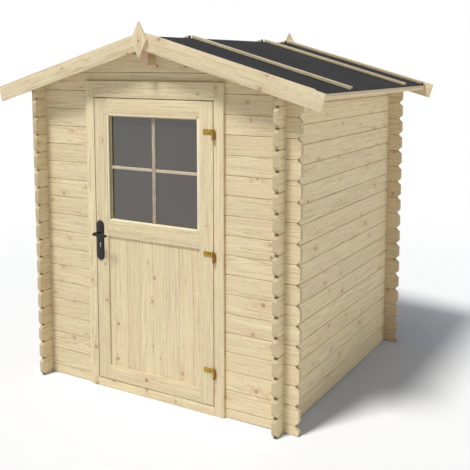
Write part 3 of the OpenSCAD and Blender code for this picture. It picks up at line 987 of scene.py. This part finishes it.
def hinge_strap(place):
    """The strap on the leaf, wrapped round to the knuckle that sits on the pin."""
    node = "hinge_strap_" + place
    mesh = Mesh(node + "_brass")
    a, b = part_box(node)
    pin, radius = hinge_pin(place)
    face_y = low("stile_hinge").y
    top = a.z + STRAP_H
    wrap = b.x - 2 * radius
    barrel(mesh, pin + AXIS_Z * a.z, b.z - a.z, radius, BORE_R)
    corner = Vector((wrap + HOOK_T, face_y, top))
    chamfered_block(mesh, Vector((a.x, face_y - STRAP_T, a.z)), corner, ease=0.0006)
    chamfered_block(mesh, Vector((wrap, pin.y, a.z)), corner)
    for x, z in STRAP_SCREWS:
        centre = Vector((a.x + x * (wrap - a.x), face_y - STRAP_T, a.z + z * STRAP_H))
        screw(mesh, centre, -AXIS_Y, radius=0.0035)
    mesh.done("door", node, [BRASS, KNUCKLE_BRASS_SHADED])


WEB = 0.005  # half the width of the lock cylinder's web


def arc(x, z, radius, start, sweep, steps):
    """Outline points of an arc round (x, z), with both of its ends."""
    angles = [start + sweep * i / steps for i in range(steps + 1)]
    return [(x + radius * cos(t), z + radius * sin(t), 1.0) for t in angles]


def stadium(x, z0, z1, radius):
    """Outline of a long plate with round ends, from its lower end."""
    return (arc(x, z0 + radius, radius, pi, pi, 14)
            + arc(x, z1 - radius, radius, 0.0, pi, 14))


def keyhole(grow=0.0):
    """Outline of the lock cylinder, a round nose over a web with a rounded foot, made
    larger all round by grow."""
    a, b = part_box("lock_cylinder")
    nose = (b.x - a.x) / 2
    x = a.x + nose
    web = WEB + grow
    turn = math.asin(web / (nose + grow))
    return (arc(x, a.z + WEB, web, pi, pi, 12)
            + arc(x, b.z - nose, nose + grow, turn - pi / 2, tau - 2 * turn, 28))


PLATE_T = 0.0078  # plates, a little less than the solid
PLATE_RIMS = (0.0042, 0.003)  # how far their rims slope, outside and inside
PLATE_PLAY = 0.0004  # round the lock cylinder
PLATE_SCREW = 0.014  # how far a screw lies from a plate's end
KEY_SLOT = Vector((0.0006, 0.0008, 0.0045))  # half its width, depth and height
PLUG = [(0, 0.0064), (0.0005, 0.0064), (0.0007, 0.006)]
COLLAR = [(0, 0.0125), (0.0009, 0.0125), (0.0016, 0.0115), (0.0018, 0.0100)]
SUNK = {"plug": 0.0002, "collar": 0.0006}  # how deep they start in what carries them


def handle_plates():
    """Lock plates with sloping rims, a hole for the cylinder, and their screws."""
    lever_x, lever_z = middle("plate_outside").x, middle("lever_handle").z
    for hand, out, rim in zip(("outside", "inside"), (-1, 1), PLATE_RIMS):
        a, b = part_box("plate_" + hand)
        mesh = Mesh("plate_%s_black" % hand)
        y0 = b.y if out < 0 else a.y
        place = facing(y0, out)
        layers = [(0, 0), (0.003, 0), (0.0058, rim * 0.35), (0.0076, rim), (PLATE_T, rim * 1.25)]
        outline = stadium(lever_x, a.z, b.z, (b.x - a.x) / 2)
        hole = [[place(u, v, depth) for u, v, _ in keyhole(PLATE_PLAY)] for depth in (0, PLATE_T)]
        for face in mesh.pierced(layered(outline, layers, place), hole):
            face.smooth = len(face.verts) == 4
            # the sloping rims take the darker black: painted shade
            face.material_index = int(abs(face.normal.y) < 0.9)
        mesh.lathe(COLLAR, place(lever_x, lever_z, PLATE_T - SUNK["collar"]), AXIS_Y * out)
        for z in (a.z + PLATE_SCREW, b.z - PLATE_SCREW):
            screw(mesh, place(lever_x, z, PLATE_T), AXIS_Y * out, radius=0.0032)
        mesh.done("door", "plate_" + hand, [BLACK, LEVER_BLACK_RIM_SHADE])


def lock_cylinder():
    """The cylinder through the leaf, set back in the plates, with its plug and key slot."""
    a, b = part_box("lock_cylinder")
    mesh = Mesh("lock_cylinder_nickel")
    mesh.skin(layered(keyhole(), eased(b.y - a.y, 0.0006), facing(a.y)))
    nose = (b.x - a.x) / 2
    for y, out in ((a.y, -1), (b.y, 1)):
        centre = Vector((a.x + nose, y, b.z - nose))
        mesh.lathe(PLUG, centre - AXIS_Y * (out * SUNK["plug"]), AXIS_Y * out, 28)
        # the key slot is a dark block on the plug, painted shade standing in for a hole
        for face in chamfered_block(mesh, centre - KEY_SLOT, centre + KEY_SLOT, ease=0.0002):
            face.material_index = 1
    mesh.done("door", "lock_cylinder", [NICKEL, KEY_SLOT_SHADE])


def tube(mesh, path):
    """A bar swept along a path of (point, its half sizes level and upright)."""
    rings = []
    for i, (p, (level, upright)) in enumerate(path):
        before, after = path[max(0, i - 1)][0], path[min(len(path) - 1, i + 1)][0]
        side = (after - before).cross(AXIS_Z).normalized()
        rings.append(ring_points(p, side * level, AXIS_Z * upright, 24))
    for face in mesh.skin(rings):
        face.smooth = True


BEND = 0.009  # radius of the lever's elbow, on its middle line
TIP = 0.008  # length of the rounding at its end
NECK = (0.0088, 0.0088)  # half sizes of the neck, elbow and grip
ELBOW = (0.0084, 0.0088)
GRIP = (0.0076, 0.0086)
SWELL = 0.0006  # how much the grip swells in its middle
TIP_LEAST = 0.12  # share of its thickness that is left at the very end
NECK_SUNK = 0.002  # how deep the neck starts in the plate
SPINDLE = 0.004  # half the width of the square spindle, and how deep its ends lie


def fractions(steps):
    """Equal steps up to 1."""
    return [i / steps for i in range(1, steps + 1)]


def lever_arm(mesh, out, x, plate_y, grip_y, z, grip_end):
    """One arm: a neck out of the plate, an elbow, a swelling grip and a rounded tip."""
    start = plate_y - out * NECK_SUNK
    path = [(Vector((x, start, z)), NECK)]
    for s in fractions(3):
        y = start + (grip_y - out * BEND - plate_y) * s
        path.append((Vector((x, y, z)), NECK))
    for s in fractions(8):
        t = pi / 2 * s
        y = grip_y - out * BEND * (1 - sin(t))
        path.append((Vector((x + BEND * (1 - cos(t)), y, z)), ELBOW))
    grip = grip_end - TIP - x - BEND
    for s in fractions(12):
        swell = SWELL * sin(pi * s)
        path.append((Vector((x + BEND + grip * s, grip_y, z)), [r + swell for r in GRIP]))
    for s in fractions(6):
        t = pi / 2 * s
        left = max(cos(t), TIP_LEAST)
        place = Vector((grip_end - TIP + TIP * sin(t), grip_y, z))
        path.append((place, [r * left for r in GRIP]))
    tube(mesh, path)


def lever():
    """Both lever arms on their square spindle."""
    a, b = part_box("lever_handle")
    mesh = Mesh("lever_handle_black")
    radius = (b.z - a.z) / 2
    x, z = a.x + radius, a.z + radius
    faces_y = low("plate_outside").y, high("plate_inside").y
    for out, plate_y, grip_y in zip((-1, 1), faces_y, (a.y + radius, b.y - radius)):
        lever_arm(mesh, out, x, plate_y, grip_y, z, b.x - 0.0005)
    chamfered_block(mesh, Vector((x - SPINDLE, faces_y[0] + SPINDLE, z - SPINDLE)),
                    Vector((x + SPINDLE, faces_y[1] - SPINDLE, z + SPINDLE)))
    mesh.done("handle", "lever_handle", [LEVER_BLACK_RIM_SHADE], sharp=50)


# -------- camera, light and floor

CAMERA_AT = (2.6870, -4.4811, 2.0528)
CAMERA_YAW = radians(30.295)
CAMERA_PITCH = radians(6.553)
LENS = 58.5268  # millimetres, for a picture as wide as the sensor
SENSOR = 36.0
SHIFT = -0.18  # share of the picture's width that the frame is moved down


def make_camera():
    """A camera near eye height, turned down a little and shifted down, which keeps the
    uprights nearly parallel."""
    data = bpy.data.cameras.new("camera")
    cam = add("camera", data)
    data.sensor_width = SENSOR
    data.lens = LENS
    data.shift_y = SHIFT
    cam.location = CAMERA_AT
    cam.rotation_euler = (pi / 2 - CAMERA_PITCH, 0.0, CAMERA_YAW)
    bpy.context.scene.camera = cam


def make_lamp(name, strength, towards, softness, tone=(1, 1, 1)):
    """A sun that shines that way; softness is its angle in degrees."""
    data = bpy.data.lights.new(name, 'SUN')
    data.energy = strength
    data.angle = radians(softness)
    data.color = tone
    lamp = add(name, data)
    lamp.rotation_euler = Vector(towards).to_track_quat('-Z', 'Y').to_euler()
    return lamp


FLOOR_REACH = 60.0
FLOOR_Z = -0.0005  # just under the walls
WHITE_FROM, WHITE_AT = 0.6, 6.0  # where the floor starts to pale, and is white
DAY = 0.212  # strength of the even light from all round
KEY = 3.00  # soft key from the front, high and a little to the left
FILL = 0.75  # low fill from the right
GROUND = 4.55  # the key's counterpart for the floor alone
GROUND_TONE = (1.0, 0.895, 0.71)  # warm, because the floor itself is bluish
KEY_TOWARDS = (0.175, 0.51, -1.0)
GROUND_TOWARDS = (0.18, 0.455, -1.0)
FILL_TOWARDS = (-1.0, -0.30, -0.12)


def only_for(lamp, thing, state):
    """Makes a lamp light one thing only ('INCLUDE') or all but that ('EXCLUDE')."""
    group = bpy.data.collections.new(lamp.name + "_reach")
    group.objects.link(thing)
    group.collection_objects[0].light_linking.link_state = state
    lamp.light_linking.receiver_collection = group


def make_world():
    """Even light from all round, which the camera, mirrors and glass see as white."""
    world = bpy.data.worlds.new("studio")
    bpy.context.scene.world = world
    g = Graph(world)
    rays = g.node("LightPath").outputs
    seen = g.math('MAXIMUM', rays["Is Camera Ray"], rays["Is Glossy Ray"])
    seen = g.math('MAXIMUM', seen, rays["Is Transmission Ray"])
    level = g.node("MapRange", {"Value": seen, "To Min": DAY, "To Max": 1.0})
    background = g.tree.nodes["Background"]
    g.put(background.inputs["Color"], (1, 1, 1, 1))
    g.put(background.inputs["Strength"], level.outputs["Result"])


def make_light(floor):
    """Key and fill for the object, and a sun of its own for the floor."""
    bpy.context.scene.view_settings.view_transform = 'Standard'
    make_world()
    key = make_lamp("key", KEY, KEY_TOWARDS, 12)
    fill = make_lamp("fill", FILL, FILL_TOWARDS, 40)
    ground = make_lamp("ground", GROUND, GROUND_TOWARDS, 12, GROUND_TONE)
    only_for(key, floor, 'EXCLUDE')
    only_for(fill, floor, 'EXCLUDE')
    only_for(ground, floor, 'INCLUDE')


def floor_material():
    """Pale ground that turns to white in the distance, for camera rays alone."""
    g = material_graph("studio_floor")
    place = g.place()
    colour = g.mix(g.noise(place, 0.7), (0.60, 0.665, 0.82, 1), (0.61, 0.675, 0.83, 1))
    x, y, _ = g.split(place)
    seen = g.node("LightPath").outputs["Is Camera Ray"]
    far = g.times(seen, g.ramp(g.length(x, y), WHITE_FROM, WHITE_AT))
    return g.surface(Base_Color=g.shaded(colour, g.less(1.0, far)), Roughness=0.9,
                     Specular_IOR_Level=0.0, Emission_Color=(1, 1, 1, 1),
                     Emission_Strength=far)


def make_floor():
    data = bpy.data.meshes.new("floor")
    corners = ((-1, -1), (1, -1), (1, 1), (-1, 1))
    data.from_pydata([(x * FLOOR_REACH, y * FLOOR_REACH, FLOOR_Z) for x, y in corners], [],
                     [(0, 1, 2, 3)])
    data.materials.append(floor_material())
    floor = add("floor", data)
    return floor


# -------- everything together

make_camera()
make_light(make_floor())

for hand_side in HANDS:
    side_wall(hand_side)
    front_side(hand_side)
    roof_deck(hand_side)
front_gable()
back_wall()
roof_felt()
roof_timber()
door_wood()
door_panel()
glazing()
glass()
for hinge_place in ("bottom", "middle", "top"):
    hinge_hook(hinge_place)
    hinge_strap(hinge_place)
handle_plates()
lock_cylinder()
lever()
